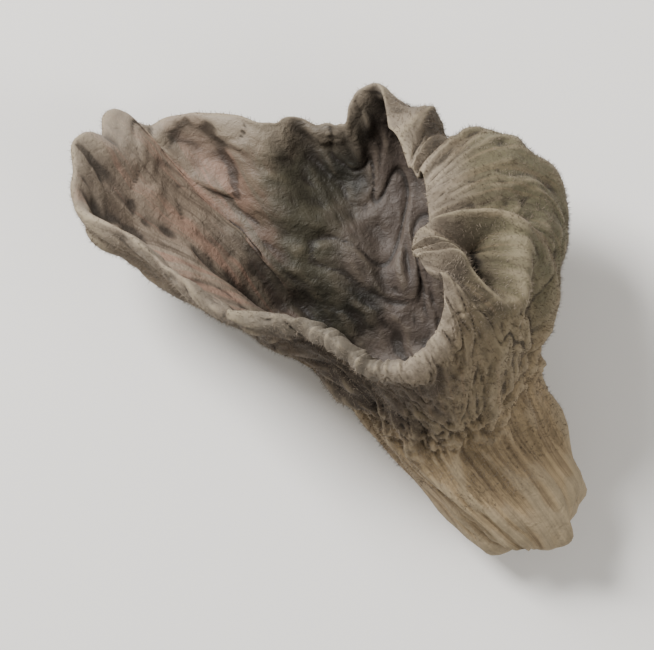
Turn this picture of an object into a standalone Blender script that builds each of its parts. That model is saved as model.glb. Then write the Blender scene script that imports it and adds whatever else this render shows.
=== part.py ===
"""A dried wood ear: one thin cupped sheet, gathered to a stub and rolled in at its margin.

Metres, +Z up. The ear lies on its back with its hollow facing up, the long fan of the
sheet towards -X, the rolled hood towards +X and the stub towards -Y.
"""
import math

import bmesh
import bpy
import numpy as np
from mathutils import Euler

# ---------------------------------------------------------------- driving dimensions
MM = 0.001

# The sheet runs out from the stub along spokes. Each row: bearing round the cup's axis in
# degrees, length of the spoke in mm, how far it bends up in degrees, and how much further
# its outer half rolls over towards the hollow in degrees.
SPOKES = (
    (0, 15.0, 70, 104),
    (30, 17.0, 63, 121),
    (60, 17.3, 57, 112),
    (82, 16.2, 54, 70),
    (104, 13.5, 55, 38),
    (124, 14.9, 51, 12),
    (139, 18.4, 45, 0),
    (154, 19.0, 48, 0),
    (172, 15.5, 60, -5),
    (195, 13.0, 76, -14),
    (225, 11.0, 87, -28),
    (255, 9.5, 82, -15),
    (290, 9.8, 76, 5),
    (326, 11.8, 71, 45),
)
SPOKE_STEPS = 40           # straight steps that make up one spoke
ROLL_FROM = 0.5            # share of the spoke where its roll begins
KNEE = 0.34                # share of the spoke in which it bends up, on average
KNEE_SPREAD = 0.06         # longer towards the back wall, shorter towards the front
KNEE_BEARING = 80          # degrees, the bearing of the longest knee

WALL = 0.75                # mm, thickness of the sheet
WALL_AT_STUB = 1.8         # mm, thickness where it gathers to the stub
STUB_REGION = 0.35         # share of the spokes over which the wall thickens
MARGIN_BEAD = 0.36         # extra thickness of the margin, as a share of the wall
MARGIN_START = 0.955       # share of the spoke where the edge starts to round off
BEAD_WIDTH = 0.035

STUB_LENGTH = 3.6          # mm, drawn out behind the cup
STUB_RADIUS = 0.27         # share of the spokes that is drawn out
STUB_TAPER = 0.15
STUB_LEAN = (0.60, -0.60)  # how the stub leans off the cup's axis as it goes out

# Each soft random field has its count of cells, its seed, and the row of the field it reads.
RUFFLE = 0.5               # radians, waves of the margin
RUFFLE_CALM = 310          # degrees, the bearing where the margin hardly waves
RUFFLE_EVERYWHERE = 0.05   # share of the waves that is left there
LONG_WAVES = (11, 34, 8.0)
SHORT_WAVES = (19, 324, 11.0)
SHORT_SHARE = 0.45         # short waves and small dents, against the long and the large
DRIFT = 0.12               # radians, the spokes wander sideways
DRIFT_EVERYWHERE = 0.3
DRIFT_FIELD = (9, 107, 9.0)
EDGE_WANDER = 0.06         # the spokes' lengths wander by this share
EDGE_FIELD = (15, 137, 10.0)
RIBS = 0.5                 # mm, wrinkles that run out from the stub
RIBS_FROM = 0.15           # share of the spoke where they begin
RIB_FIELD = (24, 11, 8.0)
RIB_BEND = 0.02            # turns, the ribs bend sideways
DENTS = 0.6                # mm, soft dents in any direction
BEND_GRID = (3.0, 12)      # cells per unit of the disc, and seed
DENT_GRID = (3.6, 13)
SMALL_DENT_GRID = (7.0, 14)
ROOMY = 12.0               # mm per radian round the sheet at which wrinkles are full height
LEAST_ROOM = 0.05

CUP_AXIS = (-0.28, 0.64, 0.72)
REST_TURN = (-0.6, -3.2, 0.0) # degrees, lays the ear on its three lowest places
REST_FLAT = 0.25               # mm of the lowest skin that dried flat on the tray
WALL_AT_REST = 0.4             # mm, least thickness left over those flats

CELLS = 28                 # cells along each edge of the ball the sheet is pressed from
SLOPE_STEP = 0.002
SLOPE_STEP_WIDE = 0.006

COLOUR = (0.150, 0.122, 0.093)
ROUGHNESS = 0.82


# ---------------------------------------------------------------- soft steps and wander
def smooth(t):
    t = np.clip(t, 0.0, 1.0)
    return t * t * (3.0 - 2.0 * t)


def blend(t):
    return t ** 3 * (t * (6.0 * t - 15.0) + 10.0)


def wander(u, v, round_cells, seed):
    """Soft random field in -1..1; it repeats after round_cells steps of u."""
    table = np.random.default_rng(seed).uniform(-1.0, 1.0, (round_cells, 64))
    i = np.floor(u).astype(int)
    j = np.floor(v).astype(int)
    across = blend(u - i)
    along = blend(v - j)
    near = table[i % round_cells, j % 64] * (1.0 - across)
    near += table[(i + 1) % round_cells, j % 64] * across
    far = table[i % round_cells, (j + 1) % 64] * (1.0 - across)
    far += table[(i + 1) % round_cells, (j + 1) % 64] * across
    return near * (1.0 - along) + far * along


def round_wander(turns, field, along=0.0):
    cells, seed, row = field
    return wander((turns % 1.0) * cells, along + row + 0.0 * turns, cells, seed)


def flat_wander(x, y, grid):
    cells, seed = grid
    return wander(cells * x + 32.0, cells * y + 32.0, 64, seed)


def spoke_value(bearing, column):
    """One column of SPOKES, carried smoothly round the full turn."""
    at = np.array([row[0] for row in SPOKES] + [360.0])
    value = np.array([row[column] for row in SPOKES], float)
    count = len(SPOKES)
    three_turns = np.concatenate([at[:-1] - 360.0, at[:-1], at[:-1] + 360.0])
    slope = np.gradient(np.tile(value, 3), three_turns)[count:2 * count]
    degrees = np.degrees(bearing) % 360.0
    i = np.clip(np.searchsorted(at, degrees, side="right") - 1, 0, count - 1)
    following = (i + 1) % count
    gap = at[i + 1] - at[i]
    t = (degrees - at[i]) / gap
    start = (2.0 * t ** 3 - 3.0 * t ** 2 + 1.0) * value[i]
    start += (t ** 3 - 2.0 * t ** 2 + t) * gap * slope[i]
    end = (3.0 * t ** 2 - 2.0 * t ** 3) * value[following]
    end += (t ** 3 - t ** 2) * gap * slope[following]
    return start + end


# ---------------------------------------------------------------- the sheet
def bare_sheet(x, y):
    """Middle of the sheet, in mm, before its wrinkles; (x, y) is a unit disc round the stub."""
    out = np.hypot(x, y)
    bearing = np.arctan2(y, x)
    turns = bearing / (2.0 * math.pi)
    length = spoke_value(bearing, 1) * (1.0 + EDGE_WANDER * round_wander(turns, EDGE_FIELD))
    rise = np.radians(spoke_value(bearing, 2))
    roll = np.radians(spoke_value(bearing, 3))
    waves = round_wander(turns, LONG_WAVES) + SHORT_SHARE * round_wander(turns, SHORT_WAVES)
    lively = 0.5 - 0.5 * np.cos(bearing - math.radians(RUFFLE_CALM))
    waves *= RUFFLE * (RUFFLE_EVERYWHERE + (1.0 - RUFFLE_EVERYWHERE) * lively ** 2)
    drift = DRIFT * (DRIFT_EVERYWHERE + (1.0 - DRIFT_EVERYWHERE) * lively)
    drift *= round_wander(turns, DRIFT_FIELD)
    knee = KNEE + KNEE_SPREAD * np.cos(bearing - math.radians(KNEE_BEARING))
    point = np.zeros((3,) + out.shape)
    for step in range(SPOKE_STEPS):
        t = out * (step + 0.5) / SPOKE_STEPS
        lean = rise * smooth(t / knee)
        lean += roll * smooth((t - ROLL_FROM) / (1.0 - ROLL_FROM))
        lean += waves * t ** 1.5
        way = bearing + drift * smooth(t)
        stride = out * length / SPOKE_STEPS
        point[0] += stride * np.cos(lean) * np.cos(way)
        point[1] += stride * np.cos(lean) * np.sin(way)
        point[2] += stride * np.sin(lean)
    return point


def slopes(surface, x, y, step):
    along_x = (surface(x + step, y) - surface(x - step, y)) / (2.0 * step)
    along_y = (surface(x, y + step) - surface(x, y - step)) / (2.0 * step)
    return along_x, along_y


def facing(along_x, along_y):
    """Unit normal of the sheet, towards the hollow."""
    normal = np.cross(along_x.T, along_y.T).T
    return normal / np.maximum(np.linalg.norm(normal, axis=0), 1e-12)


def sheet(x, y):
    """Middle of the sheet, in mm, with its ribs and dents."""
    out = np.hypot(x, y)
    bearing = np.arctan2(y, x)
    turns = bearing / (2.0 * math.pi)
    along_x, along_y = slopes(bare_sheet, x, y, SLOPE_STEP)
    width = np.linalg.norm(np.cos(bearing) * along_y - np.sin(bearing) * along_x, axis=0)
    room = np.clip(width / ROOMY, LEAST_ROOM, 1.0) ** 2
    ribs = RIBS * round_wander(turns + RIB_BEND * flat_wander(x, y, BEND_GRID), RIB_FIELD, 2.0 * out)
    dents = DENTS * flat_wander(x, y, DENT_GRID)
    dents += SHORT_SHARE * DENTS * flat_wander(x, y, SMALL_DENT_GRID)
    height = ribs * smooth((out - RIBS_FROM) / STUB_REGION) + dents * smooth(out / STUB_RADIUS)
    return bare_sheet(x, y) + facing(along_x, along_y) * height * room


def skin(x, y, side):
    """A point of the skin in mm: side is +1 in the hollow and -1 on the outer face."""
    out = np.minimum(np.hypot(x, y), 1.0)
    normal = facing(*slopes(sheet, x, y, SLOPE_STEP_WIDE))
    half = 0.5 * (WALL + (WALL_AT_STUB - WALL) * (1.0 - smooth(out / STUB_REGION)))
    half *= 1.0 + MARGIN_BEAD * np.exp(-((out - 0.95) / BEAD_WIDTH) ** 2)
    edge = np.clip((out - MARGIN_START) / (1.0 - MARGIN_START), 0.0, 1.0)
    point = sheet(x, y) + normal * side * half * np.sqrt(1.0 - edge ** 2)
    stub = (side < 0.0) * STUB_LENGTH * smooth((STUB_RADIUS - out) / STUB_TAPER)
    point[0] += stub * STUB_LEAN[0]
    point[1] += stub * STUB_LEAN[1]
    point[2] -= stub
    return point


def cup_turn():
    """Turns the cup's own axes into the frame the ear lies in."""
    axis = np.array(CUP_AXIS)
    axis /= np.linalg.norm(axis)
    across = np.array((1.0, 0.0, 0.0)) - axis[0] * axis
    across /= np.linalg.norm(across)
    upright = np.column_stack((across, np.cross(axis, across), axis))
    rest = Euler([math.radians(angle) for angle in REST_TURN], "XYZ").to_matrix()
    return np.array(rest) @ upright


# ---------------------------------------------------------------- building the piece
def ball_to_disc(ball):
    """Flattens a ball to a double disc: its upper half is the hollow's skin."""
    polar = np.arccos(np.clip(np.abs(ball[2]), 0.0, 1.0))
    out = 0.5 * (math.sqrt(2.0) * np.sin(polar / 2.0) + np.sin(polar))
    level = np.hypot(ball[0], ball[1])
    scale = np.divide(out, level, out=np.zeros_like(out), where=level > 1e-9)
    side = np.where(ball[2] >= 0.0, 1.0, -1.0)
    return ball[0] * scale, ball[1] * scale, side


def lay_down(point, side):
    """Rests the ear on z = 0 and centres its box over the origin."""
    point[2] -= point[2].min() + REST_FLAT
    point[2] = np.maximum(point[2], np.where(side > 0.0, WALL_AT_REST, 0.0))
    for axis in (0, 1):
        point[axis] -= 0.5 * (point[axis].min() + point[axis].max())
    return point


def make_ear(collection):
    bm = bmesh.new()
    bmesh.ops.create_cube(bm, size=2.0)
    bmesh.ops.subdivide_edges(bm, edges=bm.edges, cuts=CELLS - 1, use_grid_fill=True)
    ball = np.array([vert.co for vert in bm.verts]).T
    ball = np.tan(ball * math.pi / 4.0)
    ball /= np.linalg.norm(ball, axis=0)
    x, y, side = ball_to_disc(ball)
    point = lay_down(cup_turn() @ skin(x, y, side), side)
    for vert, place in zip(bm.verts, point.T * MM):
        vert.co = place
    bmesh.ops.recalc_face_normals(bm, faces=bm.faces)
    mesh = bpy.data.meshes.new("wood_ear")
    bm.to_mesh(mesh)
    bm.free()
    for face in mesh.polygons:
        face.use_smooth = True
    ear = bpy.data.objects.new("wood_ear", mesh)
    ear.data.materials.append(make_material())
    collection.objects.link(ear)
    return ear


def make_material():
    material = bpy.data.materials.new("dried_ear_skin")
    material.use_nodes = True
    shader = material.node_tree.nodes["Principled BSDF"]
    shader.inputs["Base Color"].default_value = (*COLOUR, 1.0)
    shader.inputs["Roughness"].default_value = ROUGHNESS
    shader.inputs["Metallic"].default_value = 0.0
    return material


def main():
    for old in list(bpy.data.objects):
        bpy.data.objects.remove(old, do_unlink=True)
    collection = bpy.data.collections.new("dried_wood_ear")
    bpy.context.scene.collection.children.link(collection)
    make_ear(collection)


main()
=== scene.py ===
"""A dried wood ear: its thin, crinkled, downy skin, laid over the plain solid of the frame."""

import math

import bmesh
import bpy
import numpy as np
from mathutils import Euler, Matrix, Vector


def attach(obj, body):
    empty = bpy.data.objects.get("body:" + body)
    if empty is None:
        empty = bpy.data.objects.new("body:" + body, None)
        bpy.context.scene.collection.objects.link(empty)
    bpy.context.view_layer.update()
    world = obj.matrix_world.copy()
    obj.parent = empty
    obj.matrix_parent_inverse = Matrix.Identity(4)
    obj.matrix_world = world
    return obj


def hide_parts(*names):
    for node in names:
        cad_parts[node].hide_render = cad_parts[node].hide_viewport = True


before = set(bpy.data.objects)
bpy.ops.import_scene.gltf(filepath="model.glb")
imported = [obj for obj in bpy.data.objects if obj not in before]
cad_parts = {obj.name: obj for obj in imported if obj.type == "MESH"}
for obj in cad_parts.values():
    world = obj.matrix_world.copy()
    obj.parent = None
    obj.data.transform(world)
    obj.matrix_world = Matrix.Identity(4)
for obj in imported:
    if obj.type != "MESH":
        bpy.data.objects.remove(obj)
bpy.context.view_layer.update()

MM = 0.001

# ---------------------------------------------------------------- the ear's own sizes
# Bearing round the cup, length of the spoke in mm, bend up and roll at the margin in degrees.
SPOKES = (
    (0, 15.0, 70, 104),
    (30, 17.0, 63, 121),
    (60, 17.3, 57, 112),
    (82, 16.2, 54, 70),
    (104, 13.5, 55, 38),
    (124, 14.9, 51, 12),
    (139, 18.4, 45, 0),
    (154, 19.0, 48, 0),
    (172, 15.5, 60, -5),
    (195, 13.0, 76, -14),
    (225, 11.0, 87, -28),
    (255, 9.5, 82, -15),
    (290, 9.8, 76, 5),
    (326, 11.8, 71, 45),
)
SPOKE_STEPS = 40           # straight steps that make up one spoke
ROLL_FROM = 0.5            # share of the spoke where its roll begins
KNEE = 0.34                # share of the spoke in which it bends up, on average
KNEE_SPREAD = 0.06         # longer towards the back wall, shorter towards the front
KNEE_BEARING = 80          # degrees, the bearing of the longest knee

WALL = 0.75                # mm, thickness of the sheet
WALL_AT_STUB = 1.8         # mm, thickness where it gathers to the stub
STUB_REGION = 0.35         # share of the spokes over which the wall thickens
MARGIN_BEAD = 0.36         # extra thickness of the margin, as a share of the wall
MARGIN_START = 0.955       # share of the spoke where the edge starts to round off
BEAD_AT = 0.95
BEAD_WIDTH = 0.035

STUB_LENGTH = 3.6          # mm, drawn out behind the cup
STUB_RADIUS = 0.27         # share of the spokes that is drawn out
STUB_TAPER = 0.15          # and over which it narrows
STUB_LEAN = (0.60, -0.60)  # how the stub leans off the cup's axis as it goes out

# Each FIELD is a soft random one round the stub: its count of cells, its seed, and the row it
# reads. Each GRID is one over the unit disc: its cells per unit, and its seed.
RUFFLE = 0.5               # radians, waves of the margin
RUFFLE_CALM = 310          # degrees, the bearing where the margin hardly waves
RUFFLE_EVERYWHERE = 0.05   # share of the waves that is left there
LONG_WAVES = (11, 34, 8.0)
SHORT_WAVES = (19, 324, 11.0)
SHORT_SHARE = 0.45         # short waves and small dents, against the long and the large
DRIFT = 0.12               # radians, the spokes wander sideways
DRIFT_EVERYWHERE = 0.3     # share of that drift where the margin is calm
DRIFT_FIELD = (9, 107, 9.0)
EDGE_WANDER = 0.06         # the spokes' lengths wander by this share
EDGE_FIELD = (15, 137, 10.0)
RIBS = 0.5                 # mm, wrinkles that run out from the stub
RIBS_FROM = 0.15           # share of the spoke where they begin
RIB_FIELD = (24, 11, 8.0)
RIB_BEND = 0.02            # turns, the ribs bend sideways
DENTS = 0.6                # mm, soft dents in any direction
BEND_GRID = (3.0, 12)
DENT_GRID = (3.6, 13)
SMALL_DENT_GRID = (7.0, 14)
ROOMY = 12.0               # mm per radian round the sheet at which wrinkles are full height
LEAST_ROOM = 0.05          # share of their height left where it is gathered

CUP_AXIS = (-0.28, 0.64, 0.72) # the way the cup opens, before it is laid down
REST_TURN = (-0.6, -3.2, 0.0) # degrees, lays the ear on its three lowest places
REST_FLAT = 0.25               # mm of the lowest skin that dried flat on the tray

SOLID_CELLS = 28           # cells along each edge of the ball the plain solid is pressed from
SLOPE_STEP = 0.002         # step on the disc that slopes are taken over
SLOPE_STEP_WIDE = 0.006
NO_LENGTH = 1e-6           # keeps a division from meeting nothing at the very middle

# The fine skin, in mm where nothing else is said. Each pair called FROM or END gives the share of
# the spoke where something begins or ends, and the share over which it grows or fades.
SKIN_CELLS = 128
SKIN_WALL = 0.60           # the flesh between its two faces
SKIN_AT_MARGIN = 0.42      # and at the thin, dry margin
THIN_FROM = (0.5, 0.45)
LEAST_WALL = 0.24          # flesh left where a pleat and a pucker meet
THICK_LIP = 0.45           # the lip by the stub stays thick and rolled
LIP_BEARING = 262          # degrees
LIP_AT = 0.94              # share of the spoke
LIP_WIDTH = 0.06

NICKS = 0.026              # the margin's small nicks, as a share of the spoke
NICKS_FROM = (0.6, 0.4)
NICK_FIELD = (61, 21, 4.0)
SMALL_NICK_FIELD = (113, 22, 6.0)
SMALL_NICK_SHARE = 0.6

CREASES = 0.24             # creases that bend both faces, about 2 mm apart
CREASES_FROM = (0.2, 0.3)
CREASE_FIELD = (37, 47, 0.0)
CREASE_DRAW = 2.5          # how often a crease breaks off along its spoke
CREASE_SWAY = 0.015        # turns
CREASE_SWAY_GRID = (4.0, 33)
CROSS_SHARE = 0.7          # creases that cross the others
CROSS_GRID = (7.5, 49)
CROSS_SWAY = 0.06          # and how far those bend sideways, on the disc
CROSS_SWAY_GRID = (5.0, 48)

PINCH_HEAD = (0.86, 0.10)  # the pinched fold in the hood, on the unit disc
PINCH_TAIL = (0.79, -0.15)
PINCH_WIDTH = 0.045
PINCH_DEPTH = 1.35
BANK_SHARE = 0.45          # the raised bank along either side of it
BANK_AT = 2.1              # in widths of the pinch
BANK_WIDTH = 0.9           # in widths of the pinch too

SKIN_FROM = (0.06, 0.2)    # where each face's own relief begins
FACES_APART = 7.3          # keeps the two faces' patterns unlike
SKIN_SWAY = 0.05           # puckers and veins bend sideways
SKIN_SWAY_GRIDS = ((6.0, 31), (6.0, 32))
PLEATS = 0.12              # fine pleats that run out from the stub
PLEATS_EVERYWHERE = 0.35   # share of them that is left outside the pleated patches
PLEAT_SWAY = 0.012         # turns
PLEAT_SWAY_GRID = (5.0, 33)
PLEAT_FIELD = (62, 41, 0.0)
PLEAT_DRAW = 3.0           # how often a pleat breaks off along its spoke
SMALL_PLEAT_FIELD = (124, 42, 0.0)
SMALL_PLEAT_DRAW = 5.0
SMALL_SHARE = 0.5          # small pleats and puckers, against the large
PATCH_GRID = (3.0, 43)
PATCH_CONTRAST = 0.9
PUCKERS = 0.13             # shrunken puckers about 1 mm across
PUCKER_GRID = (15.0, 44)
SMALL_PUCKER_GRID = (29.0, 45)
VEINS = 0.17               # sunk veins about 2 mm apart
VEIN_GRID = (8.0, 46)
VEIN_NARROWNESS = 3.0
VEINS_HIDDEN = 0.6         # share of them that the pleated patches hide

STUB_FOLDS = 0.46          # folds along the stub
STUB_FOLDS_FROM = (0.03, 0.10)
STUB_FOLDS_END = (0.30, 0.25)
STUB_SWAY = 0.02           # turns
STUB_SWAY_GRID = (9.0, 64)
STUB_FOLD_FIELD = (11, 61, 0.0)
STUB_FOLD_DRAW = 3.0
SMALL_FOLD_FIELD = (27, 62, 0.0)
SMALL_FOLD_DRAW = 6.0
SMALL_FOLD_SHARE = 0.6
STUB_GRAINS = ((0.4, (24.0, 65)), (0.3, (43.0, 67)))   # share of the folds, and grid
STUB_BREAK = 0.55          # the rough end where it came off its wood
STUB_BREAK_GRID = (21.0, 63)
WIDE_BREAK_GRID = (11.0, 66)
WIDE_BREAK_SHARE = 0.8
STUB_BREAK_END = (0.08, 0.16)
STUB_DOME = 1.5            # how far its rim draws back from its middle

LOW_FLOOR = 1.6            # below this the hollow's floor is lifted with the flats under it
CREST_ROUNDS = 7           # rounds of smoothing against which fine crests stand proud
FOLD_ROUNDS = 70           # and against which whole folds do

DOWN_DOUBLINGS = 15
DOWN_SEED = 71
DOWN_LENGTH = (0.10, 0.24) # short stiff down on the outer face
DOWN_RADIUS = 0.011
DOWN_ROOT = 0.02           # how deep each bristle is set
DOWN_LEAN = 0.9            # it lies over towards the margin
DOWN_UNRULY = 0.45         # and is never quite combed
DOWN_ROUND_MARGIN = 0.62   # how far round the margin's edge it still grows
DOWN_FROM = 0.2            # share of the spoke where it begins; the stub is bare
SPIKE_RADIUS = 0.3         # of the one spike that all bristles are drawn from


# ---------------------------------------------------------------- soft steps and wander
def smooth(t):
    t = np.clip(t, 0.0, 1.0)
    return t * t * (3.0 - 2.0 * t)


def rises(t, over):
    """0 until the first number of the pair, then up to 1 over the second."""
    start, width = over
    return smooth((t - start) / width)


def ease(t):
    return t ** 3 * (t * (6.0 * t - 15.0) + 10.0)


def wander(u, v, round_cells, seed):
    """Soft random field in -1..1; it repeats after round_cells steps of u."""
    table = np.random.default_rng(seed).uniform(-1.0, 1.0, (round_cells, 64))
    i = np.floor(u).astype(int)
    j = np.floor(v).astype(int)
    across = ease(u - i)
    along = ease(v - j)
    near = table[i % round_cells, j % 64] * (1.0 - across)
    near += table[(i + 1) % round_cells, j % 64] * across
    far = table[i % round_cells, (j + 1) % 64] * (1.0 - across)
    far += table[(i + 1) % round_cells, (j + 1) % 64] * across
    return near * (1.0 - along) + far * along


def round_wander(turns, field, along=0.0):
    """Soft random field that closes on itself round the stub."""
    cells, seed, row = field
    return wander((turns % 1.0) * cells, along + row + 0.0 * turns, cells, seed)


def flat_wander(x, y, grid):
    """Soft random field over the unit disc."""
    cells, seed = grid
    return wander(cells * x + 512.0, cells * y + 512.0, 64, seed)


def spoke_value(bearing, column):
    """One column of SPOKES, carried smoothly round the full turn."""
    at = np.array([row[0] for row in SPOKES] + [360.0])
    value = np.array([row[column] for row in SPOKES], float)
    count = len(SPOKES)
    three_turns = np.concatenate([at[:-1] - 360.0, at[:-1], at[:-1] + 360.0])
    slope = np.gradient(np.tile(value, 3), three_turns)[count:2 * count]
    degrees = np.degrees(bearing) % 360.0
    i = np.clip(np.searchsorted(at, degrees, side="right") - 1, 0, count - 1)
    following = (i + 1) % count
    gap = at[i + 1] - at[i]
    t = (degrees - at[i]) / gap
    start = (2.0 * t ** 3 - 3.0 * t ** 2 + 1.0) * value[i]
    start += (t ** 3 - 2.0 * t ** 2 + t) * gap * slope[i]
    end = (3.0 * t ** 2 - 2.0 * t ** 3) * value[following]
    end += (t ** 3 - t ** 2) * gap * slope[following]
    return start + end


# ---------------------------------------------------------------- the sheet
def bare_sheet(x, y, fine=0.0):
    """Middle of the sheet, in mm, before its wrinkles; (x, y) is a unit disc round the stub."""
    out = np.hypot(x, y)
    bearing = np.arctan2(y, x)
    turns = bearing / (2.0 * math.pi)
    length = spoke_value(bearing, 1) * (1.0 + EDGE_WANDER * round_wander(turns, EDGE_FIELD))
    nicks = round_wander(turns, NICK_FIELD) + SMALL_NICK_SHARE * round_wander(turns, SMALL_NICK_FIELD)
    length *= 1.0 + fine * NICKS * nicks * rises(out, NICKS_FROM)
    rise = np.radians(spoke_value(bearing, 2))
    roll = np.radians(spoke_value(bearing, 3))
    waves = round_wander(turns, LONG_WAVES) + SHORT_SHARE * round_wander(turns, SHORT_WAVES)
    lively = 0.5 - 0.5 * np.cos(bearing - math.radians(RUFFLE_CALM))
    waves *= RUFFLE * (RUFFLE_EVERYWHERE + (1.0 - RUFFLE_EVERYWHERE) * lively ** 2)
    drift = DRIFT * (DRIFT_EVERYWHERE + (1.0 - DRIFT_EVERYWHERE) * lively)
    drift *= round_wander(turns, DRIFT_FIELD)
    knee = KNEE + KNEE_SPREAD * np.cos(bearing - math.radians(KNEE_BEARING))
    point = np.zeros((3,) + out.shape)
    for step in range(SPOKE_STEPS):
        t = out * (step + 0.5) / SPOKE_STEPS
        lean = rise * smooth(t / knee)
        lean += roll * smooth((t - ROLL_FROM) / (1.0 - ROLL_FROM))
        lean += waves * t ** 1.5
        way = bearing + drift * smooth(t)
        stride = out * length / SPOKE_STEPS
        point[0] += stride * np.cos(lean) * np.cos(way)
        point[1] += stride * np.cos(lean) * np.sin(way)
        point[2] += stride * np.sin(lean)
    return point


def slopes(surface, x, y, step):
    """How a surface runs along x and along y of the disc."""
    along_x = (surface(x + step, y) - surface(x - step, y)) / (2.0 * step)
    along_y = (surface(x, y + step) - surface(x, y - step)) / (2.0 * step)
    return along_x, along_y


def facing(along_x, along_y):
    """Unit normal of the sheet, towards the hollow."""
    normal = np.cross(along_x.T, along_y.T).T
    return normal / np.maximum(np.linalg.norm(normal, axis=0), 1e-12)


def wrinkle_room(x, y, along_x, along_y):
    """1 where the sheet is wide round its ring, small where it is gathered."""
    bearing = np.arctan2(y, x)
    width = np.linalg.norm(np.cos(bearing) * along_y - np.sin(bearing) * along_x, axis=0)
    return np.clip(width / ROOMY, LEAST_ROOM, 1.0)


def broad_relief(x, y):
    """Ribs and dents, in mm, as on the solid."""
    out = np.hypot(x, y)
    turns = np.arctan2(y, x) / (2.0 * math.pi)
    ribs = RIBS * round_wander(turns + RIB_BEND * flat_wander(x, y, BEND_GRID), RIB_FIELD, 2.0 * out)
    dents = DENTS * flat_wander(x, y, DENT_GRID)
    dents += SHORT_SHARE * DENTS * flat_wander(x, y, SMALL_DENT_GRID)
    return ribs * smooth((out - RIBS_FROM) / STUB_REGION) + dents * smooth(out / STUB_RADIUS)


def creases(x, y):
    """Creases, in mm, that bend the whole thickness."""
    out = np.hypot(x, y)
    turns = np.arctan2(y, x) / (2.0 * math.pi)
    sway = CREASE_SWAY * flat_wander(x, y, CREASE_SWAY_GRID)
    radial = round_wander(turns + sway, CREASE_FIELD, CREASE_DRAW * out)
    crossed = flat_wander(x + CROSS_SWAY * flat_wander(x, y, CROSS_SWAY_GRID), y, CROSS_GRID)
    return CREASES * (radial + CROSS_SHARE * crossed) * rises(out, CREASES_FROM)


def pinch(x, y):
    """How far the hood is pinched in, in mm, along one short fold with a bank on either side."""
    start = np.array(PINCH_HEAD)
    along = np.array(PINCH_TAIL) - start
    t = np.clip(((x - start[0]) * along[0] + (y - start[1]) * along[1]) / (along @ along), 0.0, 1.0)
    gap = np.hypot(x - start[0] - t * along[0], y - start[1] - t * along[1]) / PINCH_WIDTH
    bank = BANK_SHARE * np.exp(-((gap - BANK_AT) / BANK_WIDTH) ** 2)
    return PINCH_DEPTH * (np.exp(-gap ** 2) - bank)


def fine_relief(x, y, side):
    """Pleats, puckers and veins, in mm, that each face takes on as it shrinks."""
    out = np.hypot(x, y)
    turns = np.arctan2(y, x) / (2.0 * math.pi)
    apart = FACES_APART * side
    bend_x = x + SKIN_SWAY * flat_wander(x + apart, y, SKIN_SWAY_GRIDS[0])
    bend_y = y + SKIN_SWAY * flat_wander(x + apart, y, SKIN_SWAY_GRIDS[1])
    sway = PLEAT_SWAY * flat_wander(x, y, PLEAT_SWAY_GRID)
    pleats = round_wander(turns + sway, PLEAT_FIELD, PLEAT_DRAW * out + apart)
    pleats += SMALL_SHARE * round_wander(turns + sway, SMALL_PLEAT_FIELD, SMALL_PLEAT_DRAW * out + apart)
    patchy = smooth(0.5 + PATCH_CONTRAST * flat_wander(x, y, PATCH_GRID))
    puckers = flat_wander(bend_x + apart, bend_y, PUCKER_GRID)
    puckers += SMALL_SHARE * flat_wander(bend_x + apart, bend_y, SMALL_PUCKER_GRID)
    veins = 1.0 - VEIN_NARROWNESS * np.abs(flat_wander(bend_x + apart, bend_y, VEIN_GRID))
    veins = np.clip(veins, 0.0, 1.0) ** 2
    relief = PLEATS * pleats * (PLEATS_EVERYWHERE + (1.0 - PLEATS_EVERYWHERE) * patchy)
    relief += PUCKERS * puckers
    relief -= VEINS * veins * (1.0 - VEINS_HIDDEN * patchy)
    return relief * rises(out, SKIN_FROM)


def stub_relief(x, y):
    """Folds along the stub, in mm."""
    out = np.hypot(x, y)
    turns = np.arctan2(y, x) / (2.0 * math.pi) + STUB_SWAY * flat_wander(x, y, STUB_SWAY_GRID)
    folds = round_wander(turns, STUB_FOLD_FIELD, STUB_FOLD_DRAW * out)
    folds += SMALL_FOLD_SHARE * round_wander(turns, SMALL_FOLD_FIELD, SMALL_FOLD_DRAW * out)
    for share, grid in STUB_GRAINS:
        folds += share * flat_wander(x, y, grid)
    return STUB_FOLDS * folds * rises(out, STUB_FOLDS_FROM) * (1.0 - rises(out, STUB_FOLDS_END))


def plain_sheet(x, y):
    """Middle of the solid's sheet, in mm."""
    along_x, along_y = slopes(bare_sheet, x, y, SLOPE_STEP)
    room = wrinkle_room(x, y, along_x, along_y)
    return bare_sheet(x, y) + facing(along_x, along_y) * broad_relief(x, y) * room ** 2


def crinkled_sheet(x, y):
    """Middle of the dried sheet, in mm, with its creases and its pinched fold."""
    along_x, along_y = slopes(bare_sheet, x, y, SLOPE_STEP)
    room = wrinkle_room(x, y, along_x, along_y)
    height = (broad_relief(x, y) + creases(x, y)) * room ** 2 + pinch(x, y)
    return bare_sheet(x, y, 1.0) + facing(along_x, along_y) * height


def stub_reach(out, side):
    """How far the stub is drawn out from the outer face, in mm along each axis."""
    reach = (side < 0.0) * STUB_LENGTH * smooth((STUB_RADIUS - out) / STUB_TAPER)
    return np.stack((reach * STUB_LEAN[0], reach * STUB_LEAN[1], -reach))


def plain_skin(x, y, side):
    """The solid's own skin, in mm: side is +1 in the hollow and -1 on the outer face."""
    out = np.minimum(np.hypot(x, y), 1.0)
    normal = facing(*slopes(plain_sheet, x, y, SLOPE_STEP_WIDE))
    half = 0.5 * (WALL + (WALL_AT_STUB - WALL) * (1.0 - smooth(out / STUB_REGION)))
    half *= 1.0 + MARGIN_BEAD * np.exp(-((out - BEAD_AT) / BEAD_WIDTH) ** 2)
    return plain_sheet(x, y) + normal * side * half * edge_fade(out) + stub_reach(out, side)


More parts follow.
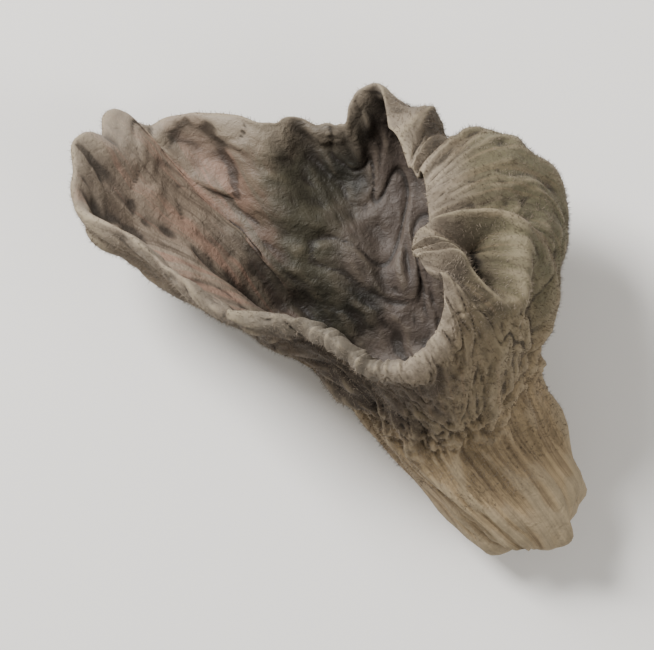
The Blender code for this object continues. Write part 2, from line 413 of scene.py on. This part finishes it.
def crinkled_skin(x, y, side):
    """The dried skin: thin towards its margin, with a relief of its own on each face."""
    out = np.minimum(np.hypot(x, y), 1.0)
    along_x, along_y = slopes(bare_sheet, x, y, SLOPE_STEP_WIDE)
    normal = facing(along_x, along_y)
    room = wrinkle_room(x, y, along_x, along_y)
    lip = (0.5 + 0.5 * np.cos(np.arctan2(y, x) - math.radians(LIP_BEARING))) ** 3
    wall = SKIN_WALL + (SKIN_AT_MARGIN - SKIN_WALL) * rises(out, THIN_FROM)
    wall += (WALL_AT_STUB - SKIN_WALL) * (1.0 - smooth(out / STUB_REGION))
    wall += THICK_LIP * lip * np.exp(-((out - LIP_AT) / LIP_WIDTH) ** 2)
    relief = fine_relief(x, y, side) * np.sqrt(room)
    half = np.maximum(0.5 * wall + relief, 0.5 * LEAST_WALL)
    point = crinkled_sheet(x, y) + normal * side * edge_fade(out) * half
    folds = (side < 0.0) * stub_relief(x, y)
    near = np.maximum(np.hypot(x, y), NO_LENGTH)
    point[0] += folds * x / near
    point[1] += folds * y / near
    rough = flat_wander(x, y, STUB_BREAK_GRID) + WIDE_BREAK_SHARE * flat_wander(x, y, WIDE_BREAK_GRID)
    rough = STUB_BREAK * rough + STUB_DOME * (out / STUB_RADIUS) ** 2
    point[2] += (side < 0.0) * rough * (1.0 - rises(out, STUB_BREAK_END))
    return point + stub_reach(out, side)


def edge_fade(out):
    """1 over the sheet, and rounding off to 0 at the edge itself."""
    edge = np.clip((out - MARGIN_START) / (1.0 - MARGIN_START), 0.0, 1.0)
    return np.sqrt(1.0 - edge ** 2)


# ---------------------------------------------------------------- lying down
def rest_turn():
    """Turns the ear from its cup upright to how it lies."""
    return np.array(Euler([math.radians(angle) for angle in REST_TURN], "XYZ").to_matrix())


def cup_turn():
    """Tilts the cup, which opens along CUP_AXIS, and lays it down."""
    axis = np.array(CUP_AXIS)
    axis /= np.linalg.norm(axis)
    across = np.array((1.0, 0.0, 0.0)) - axis[0] * axis
    across /= np.linalg.norm(across)
    return rest_turn() @ np.column_stack((across, np.cross(axis, across), axis))


def pressed_ball(cells):
    """A ball of square cells, and the place of each of its points on the double disc."""
    bm = bmesh.new()
    bmesh.ops.create_cube(bm, size=2.0)
    bmesh.ops.subdivide_edges(bm, edges=bm.edges, cuts=cells - 1, use_grid_fill=True)
    ball = np.array([vert.co for vert in bm.verts]).T
    ball = np.tan(ball * math.pi / 4.0)
    ball /= np.linalg.norm(ball, axis=0)
    polar = np.arccos(np.clip(np.abs(ball[2]), 0.0, 1.0))
    out = 0.5 * (math.sqrt(2.0) * np.sin(polar / 2.0) + np.sin(polar))
    level = np.hypot(ball[0], ball[1])
    scale = np.divide(out, level, out=np.zeros_like(out), where=level > 1e-9)
    side = np.where(ball[2] >= 0.0, 1.0, -1.0)
    return bm, ball[0] * scale, ball[1] * scale, side


def rest_shift():
    """How far the plain solid was moved to lie centred on z = 0, in mm."""
    bm, x, y, side = pressed_ball(SOLID_CELLS)
    bm.free()
    point = cup_turn() @ plain_skin(x, y, side)
    shift = -0.5 * (point.min(axis=1) + point.max(axis=1))
    shift[2] = -point[2].min() - REST_FLAT
    return shift


# ---------------------------------------------------------------- the fine skin
def store(mesh, name, kind, values):
    """Keeps one value at each point of the mesh, for its material to read."""
    kept = mesh.attributes.new(name, kind, "POINT")
    key = "value" if kind == "FLOAT" else "vector"
    kept.data.foreach_set(key, np.ascontiguousarray(values, dtype=np.float32).ravel())


def numbers(collection, key, width):
    """One property of every point, edge or face, as rows of numbers."""
    values = np.empty(len(collection) * width, dtype=np.float32 if key != "vertices" else np.int32)
    collection.foreach_get(key, values)
    return values.reshape(-1, width)


def standing_proud(mesh, rounds):
    """How far each point stands proud of its smoothed surroundings, in mm; a fold is below zero."""
    place = numbers(mesh.vertices, "co", 3).astype(float) / MM
    normal = numbers(mesh.vertices, "normal", 3)
    first, second = numbers(mesh.edges, "vertices", 2).T
    count = len(place)
    valence = np.bincount(first, minlength=count) + np.bincount(second, minlength=count)
    smoothed = place.copy()
    for _ in range(rounds):
        total = np.empty_like(smoothed)
        for axis in range(3):
            total[:, axis] = np.bincount(first, smoothed[second, axis], count)
            total[:, axis] += np.bincount(second, smoothed[first, axis], count)
        smoothed = 0.5 * smoothed + 0.5 * total / valence[:, None]
    return np.sum((place - smoothed) * normal, axis=1)


def make_skin():
    """The whole ear as one closed skin, a face in the hollow and a face outside."""
    bm, x, y, side = pressed_ball(SKIN_CELLS)
    point = cup_turn() @ crinkled_skin(x, y, side)
    point += rest_shift()[:, None]
    low = np.flatnonzero((side > 0.0) & (point[2] < LOW_FLOOR))
    under = cup_turn()[2] @ crinkled_skin(x[low], y[low], -np.ones(len(low))) + rest_shift()[2]
    point[2, low] += np.maximum(-under, 0.0)
    point[2] = np.maximum(point[2], 0.0)
    for vert, place in zip(bm.verts, point.T * MM):
        vert.co = place
    if bm.calc_volume(signed=True) < 0.0:
        bmesh.ops.reverse_faces(bm, faces=bm.faces)
    mesh = bpy.data.meshes.new("ear_skin")
    bm.to_mesh(mesh)
    bm.free()
    for face in mesh.polygons:
        face.use_smooth = True
    out = np.hypot(x, y)
    near = np.maximum(out, NO_LENGTH)
    store(mesh, "hollow", "FLOAT", 0.5 + 0.5 * side * edge_fade(np.minimum(out, 1.0)))
    store(mesh, "outward", "FLOAT", out)
    # crest and fold also set where the material paints its highlights and its shade
    store(mesh, "crest", "FLOAT", standing_proud(mesh, CREST_ROUNDS))
    store(mesh, "fold", "FLOAT", standing_proud(mesh, FOLD_ROUNDS))
    store(mesh, "spoke", "FLOAT_VECTOR", np.stack((x / near, y / near, out)).T)
    ear = bpy.data.objects.new("ear_skin", mesh)
    bpy.context.scene.collection.objects.link(ear)
    return ear


def make_down(ear):
    """Thousands of fine bristles, each a three-sided spike, rooted on the outer face."""
    rng = np.random.default_rng(DOWN_SEED)
    count = 2 ** DOWN_DOUBLINGS
    skin_mesh = ear.data
    place = numbers(skin_mesh.vertices, "co", 3).astype(float) / MM
    normal = numbers(skin_mesh.vertices, "normal", 3).astype(float)
    hollow = numbers(skin_mesh.attributes["hollow"].data, "value", 1)[:, 0]
    outward = numbers(skin_mesh.attributes["outward"].data, "value", 1)[:, 0]
    corner = np.array([face.vertices[:] for face in skin_mesh.polygons])
    share = numbers(skin_mesh.polygons, "area", 1)[:, 0].astype(float)
    share *= hollow[corner].mean(axis=1) < DOWN_ROUND_MARGIN
    share *= outward[corner].mean(axis=1) > DOWN_FROM
    chosen = corner[rng.choice(len(corner), count, p=share / share.sum())]
    across, along = rng.random((2, count, 1))

    def over_face(values):
        near = values[chosen[:, 0]] * (1.0 - across) + values[chosen[:, 1]] * across
        far = values[chosen[:, 3]] * (1.0 - across) + values[chosen[:, 2]] * across
        return near * (1.0 - along) + far * along

    root = over_face(place)
    up = over_face(normal)
    up /= np.linalg.norm(up, axis=1)[:, None]
    highest = np.argmax(outward[chosen], axis=1)
    lowest = np.argmin(outward[chosen], axis=1)
    row = np.arange(count)
    lie = place[chosen[row, highest]] - place[chosen[row, lowest]]
    lie /= np.maximum(np.linalg.norm(lie, axis=1)[:, None], NO_LENGTH)
    way = up + DOWN_LEAN * lie * rng.random((count, 1)) + DOWN_UNRULY * rng.normal(size=(count, 3))
    way /= np.linalg.norm(way, axis=1)[:, None]
    flank = np.cross(way, rng.normal(size=(count, 3)))
    flank /= np.linalg.norm(flank, axis=1)[:, None]
    back = np.cross(way, flank)
    length = rng.uniform(DOWN_LENGTH[0], DOWN_LENGTH[1], (count, 1))

    bm = bmesh.new()
    bmesh.ops.create_cone(bm, segments=3, radius1=SPIKE_RADIUS, radius2=0.0, depth=1.0)
    for doubling in range(DOWN_DOUBLINGS):
        copy = bmesh.ops.duplicate(bm, geom=bm.verts[:] + bm.edges[:] + bm.faces[:])["geom"]
        points = [item for item in copy if isinstance(item, bmesh.types.BMVert)]
        bmesh.ops.translate(bm, verts=points, vec=(2.0 ** doubling, 0.0, 0.0))
    mesh = bpy.data.meshes.new("ear_down")
    bm.to_mesh(mesh)
    bm.free()
    spike = numbers(mesh.vertices, "co", 3).astype(float)
    bristle = np.round(spike[:, 0]).astype(int)
    reach = spike[:, 2:3] + 0.5
    new_place = root[bristle] + way[bristle] * (reach * length[bristle] - DOWN_ROOT)
    new_place += flank[bristle] * (spike[:, 0:1] - bristle[:, None]) * DOWN_RADIUS / SPIKE_RADIUS
    new_place += back[bristle] * spike[:, 1:2] * DOWN_RADIUS / SPIKE_RADIUS
    new_place[:, 2] = np.maximum(new_place[:, 2], 0.0)
    mesh.vertices.foreach_set("co", (new_place * MM).astype(np.float32).ravel())
    mesh.update()
    down = bpy.data.objects.new("ear_down", mesh)
    bpy.context.scene.collection.objects.link(down)
    return down


# ---------------------------------------------------------------- materials
# Sizes of the patterns, in mm.
CLOUDS = 3.03              # clouds of lighter and darker flesh
BORDER_WANDER = 7.0        # how far the clouds push the borders between colours about
MOTTLE = 0.8               # small spots all over it
CREPE = 0.3846             # the finest shrink wrinkles, as fine as they can show
CREPE_HEIGHT = 0.16
GRAIN = 0.14286            # the felted grain under the down, as coarse as it needs to show
GRAIN_HEIGHT = 0.05
TUFTS = 2.0                # tufts of darker and paler down
STREAK_WIDTH = 2.0 / 3.0   # streaks along the spokes, measured 10 mm out from the stub
STREAK_WIDTH_AT = 10.0
STREAK_LENGTH = 7.5        # and their length, on a spoke of 13.5 mm
MEAN_SPOKE = 13.5

LIP_SHADOW_BEARING = 228          # degrees, the bearing of the painted shadow below the rolled lip
LIP_SHADOW_WAY = (math.cos(math.radians(LIP_SHADOW_BEARING)), math.sin(math.radians(LIP_SHADOW_BEARING)), 0.0)

SOFT_STEP = {"interpolation_type": "SMOOTHSTEP"}
MULTIPLY = {"operation": "MULTIPLY"}
COLOUR_MIX = {"data_type": "RGBA", "blend_type": "MIX"}
# Sockets of a mix of two colours: how much of the second, the first, the second, and the outcome.
SHARE = 0
FIRST = 6
SECOND = 7
MIXED = 2


def linear(code):
    """An sRGB hex colour as linear RGBA."""
    channels = [int(code[i:i + 2], 16) / 255.0 for i in (1, 3, 5)]
    return [c / 12.92 if c <= 0.04045 else ((c + 0.055) / 1.055) ** 2.4 for c in channels] + [1.0]


def add_node(tree, kind, settings=None, inputs=None):
    """Adds a node; an input that is a socket is linked, and anything else is its value."""
    node = tree.nodes.new(kind)
    for key, value in (settings or {}).items():
        setattr(node, key, value)
    for key, value in (inputs or {}).items():
        if isinstance(value, bpy.types.NodeSocket):
            tree.links.new(value, node.inputs[key])
        else:
            node.inputs[key].default_value = value
    return node


def dried_ear_flesh():
    """Air-dried cloud-ear flesh: a gel that shrank to a thin sheet, hard as horn.

    Its outer face is felted, so it looks dusty and matt. The hollow is bare and a little waxy, so
    it looks darker, and its creases shine softly. Horn and dried gel both bend light by 1.5, which
    is the shader's own value.
    """
    material = bpy.data.materials.new("dried_ear_flesh")
    material.use_nodes = True
    tree = material.node_tree
    shader = tree.nodes["Principled BSDF"]
    place = add_node(tree, "ShaderNodeTexCoord").outputs["Object"]
    spoke = add_node(tree, "ShaderNodeAttribute", {"attribute_name": "spoke"}).outputs["Vector"]
    hollow, outward, crest, fold = [
        add_node(tree, "ShaderNodeAttribute", {"attribute_name": name}).outputs["Fac"]
        for name in ("hollow", "outward", "crest", "fold")
    ]

    # Clouds, mottling, streaks that run out along the spokes, felted grain and shrink wrinkles.
    round_scale = STREAK_WIDTH_AT / STREAK_WIDTH
    stretch = {"Vector": spoke, "Scale": (round_scale, round_scale, MEAN_SPOKE / STREAK_LENGTH)}
    stretched = add_node(tree, "ShaderNodeMapping", None, stretch).outputs["Vector"]
    patterns = []
    for vector, scale, detail, roughness, distortion in (
        (place, 1.0 / (CLOUDS * MM), 3.0, 0.6, 0.0),
        (place, 1.0 / (MOTTLE * MM), 4.0, 0.65, 0.0),
        (stretched, 1.0, 4.0, 0.65, 0.35),
        (place, 1.0 / (GRAIN * MM), 3.0, 0.7, 0.0),
        (place, 1.0 / (CREPE * MM), 5.0, 0.6, 0.6),
    ):
        inputs = {"Vector": vector, "Scale": scale, "Detail": detail}
        inputs.update({"Roughness": roughness, "Distortion": distortion})
        patterns.append(add_node(tree, "ShaderNodeTexNoise", None, inputs).outputs["Fac"])
    clouds, mottle, streaks, grain, crepe = patterns

    # Where across and up the ear, in metres, with a soft, wandering border.
    along = add_node(tree, "ShaderNodeSeparateXYZ", None, {"Vector": place}).outputs
    centred = add_node(tree, "ShaderNodeMath", {"operation": "SUBTRACT"}, {0: clouds, 1: 0.5}).outputs[0]
    drift = add_node(tree, "ShaderNodeMath", MULTIPLY, {0: centred, 1: BORDER_WANDER * MM}).outputs[0]
    across = add_node(tree, "ShaderNodeMath", {"operation": "ADD"}, {0: along[0], 1: drift}).outputs[0]
    upward = add_node(tree, "ShaderNodeMath", {"operation": "SUBTRACT"}, {0: along[1], 1: drift}).outputs[0]
    # Painted shadow below the rolled lip: how far each spoke points towards the lip's shadow side.
    lip_shadow_side = {0: spoke, 1: LIP_SHADOW_WAY}
    toward_lip_shadow = add_node(tree, "ShaderNodeVectorMath", {"operation": "DOT_PRODUCT"}, lip_shadow_side).outputs["Value"]

    # Each row: its name, what it reads, where it starts and ends, and its share there and there.
    step = {}
    for name, value, low, high, at_low, at_high in (
        ("pale cloud", clouds, 0.35, 0.65, 0.0, 1.0),
        ("pale cloud in the cup", clouds, 0.38, 0.66, 0.0, 1.0),
        ("dark cloud on the stub", clouds, 0.52, 0.74, 0.0, 0.35),
        ("pale cloud on the margin", clouds, 0.25, 0.6, 0.25, 0.85),
        ("clean stub", mottle, 0.2, 0.5, 0.7, 1.0),
        ("tan streak", streaks, 0.50, 0.72, 0.0, 0.5),
        ("dark streak", streaks, 0.46, 0.28, 0.0, 0.6),
        ("rosy streak in the fan", streaks, 0.47, 0.60, 0.0, 0.75),
        ("dark streak in the fan", streaks, 0.46, 0.34, 0.0, 0.75),
        ("pale grain of the stub", streaks, 0.34, 0.66, 0.0, 1.0),
        ("hood", across, 3.0 * MM, 8.0 * MM, 0.0, 0.75),
        ("right of the lip", across, 2.8 * MM, 4.8 * MM, 0.0, 1.0),
        ("left of the stub", across, 5.2 * MM, 3.0 * MM, 0.0, 1.0),
        ("under the hood", across, 0.4 * MM, 3.0 * MM, 0.0, 0.75),
        ("fan", across, -0.4 * MM, -5.2 * MM, 0.0, 1.0),
        ("below the hood", upward, 2.5 * MM, -0.5 * MM, 0.0, 1.0),
        ("facing the lip", toward_lip_shadow, 0.55, 0.95, 0.0, 0.7),
        ("near the stub", outward, 0.50, 0.20, 0.0, 1.0),
        ("near the margin", outward, 0.86, 0.985, 0.0, 1.0),
        ("outside", hollow, 0.6, 0.3, 0.0, 1.0),
        # How much painted highlight crests and raised folds take: full on the outer face, less in the
        # hollow.
        ("crest highlight outside", hollow, 0.45, 0.9, 1.0, 0.25),
        ("fold highlight outside", hollow, 0.45, 0.9, 1.0, 0.2),
        ("roughness", hollow, 0.3, 0.8, 0.88, 0.56),
        ("crest", crest, 0.004, 0.045, 0.0, 0.42),
        ("crease", crest, -0.003, -0.035, 0.0, 0.7),
        ("raised fold", fold, 0.05, 0.35, 0.0, 0.25),
        ("sunk fold", fold, -0.03, -0.30, 0.0, 0.75),
    ):
        inputs = {"Value": value, "From Min": low, "From Max": high, "To Min": at_low, "To Max": at_high}
        step[name] = add_node(tree, "ShaderNodeMapRange", SOFT_STEP, inputs).outputs["Result"]

    both = {0: step["near the stub"], 1: step["outside"]}
    stub = add_node(tree, "ShaderNodeMath", MULTIPLY, both).outputs[0]
    # How much of the painted shade in creases and sunk folds is kept: a fifth on the stub, all of it
    # elsewhere.
    inputs = {"Value": stub, "From Min": 0.1, "From Max": 0.7, "To Min": 1.0, "To Max": 0.2}
    crease_shade_off_stub = add_node(tree, "ShaderNodeMapRange", SOFT_STEP, inputs).outputs["Result"]
    below = {0: step["right of the lip"], 1: step["below the hood"]}
    below = add_node(tree, "ShaderNodeMath", MULTIPLY, below).outputs[0]

    # Each row: its name, and the two things that both have to hold for it.
    for name, first, second in (
        ("low hood", below, 0.75),
        # painted shadow below the rolled lip, on the skin that faces the lip and lies left of the stub
        ("painted shadow under the lip", step["facing the lip"], step["left of the stub"]),
        ("stub", stub, step["clean stub"]),
        ("margin", step["near the margin"], step["pale cloud on the margin"]),
        ("painted crest highlight", step["crest"], step["crest highlight outside"]),
        ("painted fold highlight", step["raised fold"], step["fold highlight outside"]),
        ("painted crease shade", step["crease"], crease_shade_off_stub),
        ("painted fold shade", step["sunk fold"], crease_shade_off_stub),
    ):
        step[name] = add_node(tree, "ShaderNodeMath", MULTIPLY, {0: first, 1: second}).outputs[0]

    # Outer face: grey-brown, olive over the hood, tan below it, with a painted shadow below the rolled lip.
    # Hollow: dark olive in the cup, mauve-grey under the hood, brown with rosy streaks on the fan.
    # The stub is tan and woody where the bark held it, and the margin dries pale, with the same painted
    # shadow below the lip.
    colour = {}
    for name, base, coats in (
        ("outer face", "#463d33", (
            ("pale cloud", "#655b4d"),
            ("hood", "#5f5d46"),
            ("low hood", "#81745d"),
            ("tan streak", "#7f6c55"),
            ("dark streak", "#3a3027"),
            ("painted shadow under the lip", "#352d26"),
        )),
        ("cup", "#211f18", (("pale cloud in the cup", "#403d31"), ("under the hood", "#544a45"))),
        ("fan", "#6b5f53", (
            ("pale cloud", "#877b6e"),
            ("rosy streak in the fan", "#8b6f61"),
            ("dark streak in the fan", "#483d33"),
        )),
        ("stub", "#73634d", (("pale grain of the stub", "#a08e70"), ("dark cloud on the stub", "#65563f"))),
        ("margin", "#8d8375", (("painted shadow under the lip", "#69645b"),)),
    ):
        colour[name] = linear(base)
        for where, code in coats:
            inputs = {SHARE: step[where], FIRST: colour[name], SECOND: linear(code)}
            colour[name] = add_node(tree, "ShaderNodeMix", COLOUR_MIX, inputs).outputs[MIXED]

    # Painted highlight: crests and raised folds are painted paler, mostly on the outer face. Painted shade:
    # creases and sunk folds are painted near black, less on the stub.
    inputs = {SHARE: step["fan"], FIRST: colour["cup"], SECOND: colour["fan"]}
    inside = add_node(tree, "ShaderNodeMix", COLOUR_MIX, inputs).outputs[MIXED]
    flesh = colour["outer face"]
    for share, coat in (
        (hollow, inside),
        (step["stub"], colour["stub"]),
        (step["margin"], colour["margin"]),
        (step["painted crest highlight"], linear("#978b76")),
        (step["painted fold highlight"], linear("#8c8570")),
        (step["painted crease shade"], linear("#1f1914")),
        (step["painted fold shade"], linear("#1f1a14")),
    ):
        inputs = {SHARE: share, FIRST: flesh, SECOND: coat}
        flesh = add_node(tree, "ShaderNodeMix", COLOUR_MIX, inputs).outputs[MIXED]
    inputs = {SHARE: mottle, FIRST: linear("#3c342c"), SECOND: linear("#d8cfc2")}
    mottling = add_node(tree, "ShaderNodeMix", COLOUR_MIX, inputs).outputs[MIXED]
    inputs = {SHARE: 0.5, FIRST: flesh, SECOND: mottling}
    settings = {"data_type": "RGBA", "blend_type": "SOFT_LIGHT"}
    flesh = add_node(tree, "ShaderNodeMix", settings, inputs).outputs[MIXED]

    inputs = {"Height": crepe, "Strength": 0.6, "Distance": CREPE_HEIGHT * MM}
    bump = add_node(tree, "ShaderNodeBump", None, inputs).outputs["Normal"]
    inputs = {"Height": grain, "Strength": 0.5, "Distance": GRAIN_HEIGHT * MM, "Normal": bump}
    bump = add_node(tree, "ShaderNodeBump", None, inputs).outputs["Normal"]

    tree.links.new(flesh, shader.inputs["Base Color"])
    tree.links.new(bump, shader.inputs["Normal"])
    tree.links.new(step["roughness"], shader.inputs["Roughness"])
    shader.inputs["Specular IOR Level"].default_value = 0.35
    shader.inputs["Sheen Weight"].default_value = 0.12
    shader.inputs["Sheen Roughness"].default_value = 0.5
    shader.inputs["Sheen Tint"].default_value = linear("#b9ada0")
    return material


def dry_down():
    """Dried down, stiff hairs of the same flesh: pale horn-grey and matt, so the ear looks dusty."""
    material = bpy.data.materials.new("dry_down")
    material.use_nodes = True
    tree = material.node_tree
    shader = tree.nodes["Principled BSDF"]
    place = add_node(tree, "ShaderNodeTexCoord").outputs["Object"]
    inputs = {"Vector": place, "Scale": 1.0 / (TUFTS * MM), "Detail": 3.0, "Roughness": 0.6}
    tuft = add_node(tree, "ShaderNodeTexNoise", None, inputs).outputs["Fac"]
    inputs = {"Value": tuft, "From Min": 0.35, "From Max": 0.65}
    share = add_node(tree, "ShaderNodeMapRange", SOFT_STEP, inputs).outputs["Result"]
    inputs = {SHARE: share, FIRST: linear("#564a3c"), SECOND: linear("#85796a")}
    shade = add_node(tree, "ShaderNodeMix", COLOUR_MIX, inputs).outputs[MIXED]
    tree.links.new(shade, shader.inputs["Base Color"])
    shader.inputs["Roughness"].default_value = 0.7
    shader.inputs["Specular IOR Level"].default_value = 0.3
    return material


def plain_paper():
    """Uncoated white paper: quite matt, so that the ear's edge reads clearly on it."""
    material = bpy.data.materials.new("uncoated_paper")
    material.use_nodes = True
    shader = material.node_tree.nodes["Principled BSDF"]
    shader.inputs["Base Color"].default_value = linear("#e9e6e1")
    shader.inputs["Roughness"].default_value = 0.9
    return material


# ---------------------------------------------------------------- floor, light and camera
# Metres, watts and mm of lens.
PAPER_HALF = 0.6
ROOM_LIGHT = 0.48
SOFTBOXES = (
    ("key_softbox", (-0.11, 0.11, 0.15), 0.95, 0.07),
    ("fill_softbox", (0.16, -0.08, 0.14), 0.22, 0.14),
)
LOOK_AT = (0.0, 0.0, 0.005)
CAMERA_AWAY = 0.30
CAMERA_NEAREST = 0.01
LENS = 430.0
SENSOR = 36.0


def make_floor():
    """A sheet of paper that the ear lies on."""
    bm = bmesh.new()
    bmesh.ops.create_grid(bm, x_segments=1, y_segments=1, size=PAPER_HALF)
    mesh = bpy.data.meshes.new("floor")
    bm.to_mesh(mesh)
    bm.free()
    mesh.materials.append(plain_paper())
    floor = bpy.data.objects.new("floor", mesh)
    bpy.context.scene.collection.objects.link(floor)


def add_softbox(name, place, power, size):
    """A square lamp behind a cloth, turned to the ear and out of sight of the camera."""
    lamp = bpy.data.lights.new(name, "AREA")
    lamp.energy = power
    lamp.size = size
    box = bpy.data.objects.new(name, lamp)
    bpy.context.scene.collection.objects.link(box)
    box.location = place
    box.visible_camera = False
    box.rotation_mode = "QUATERNION"
    box.rotation_quaternion = (Vector(LOOK_AT) - box.location).to_track_quat("-Z", "Y")


def make_light():
    """A pale room, with a key softbox up to the left and a weak fill to the right."""
    world = bpy.data.worlds.new("room")
    bpy.context.scene.world = world
    world.use_nodes = True
    back = world.node_tree.nodes["Background"]
    back.inputs["Color"].default_value = linear("#f4f2ee")
    back.inputs["Strength"].default_value = ROOM_LIGHT
    for name, place, power, size in SOFTBOXES:
        add_softbox(name, place, power, size)


def make_camera():
    """Looks straight onto the open side, as the ear faces its viewer."""
    camera = bpy.data.cameras.new("camera")
    camera.lens = LENS
    camera.sensor_width = SENSOR
    camera.clip_start = CAMERA_NEAREST
    viewer = bpy.data.objects.new("camera", camera)
    bpy.context.scene.collection.objects.link(viewer)
    turn = Matrix(rest_turn().tolist())
    away = turn @ Vector((0.0, 0.0, CAMERA_AWAY))
    viewer.matrix_world = Matrix.Translation(Vector(LOOK_AT) + away) @ turn.to_4x4()
    bpy.context.scene.camera = viewer


ear = make_skin()
ear.data.materials.append(dried_ear_flesh())
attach(ear, "root")
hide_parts("wood_ear")

down = make_down(ear)
down.data.materials.append(dry_down())
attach(down, "root")

make_floor()
make_light()
make_camera()
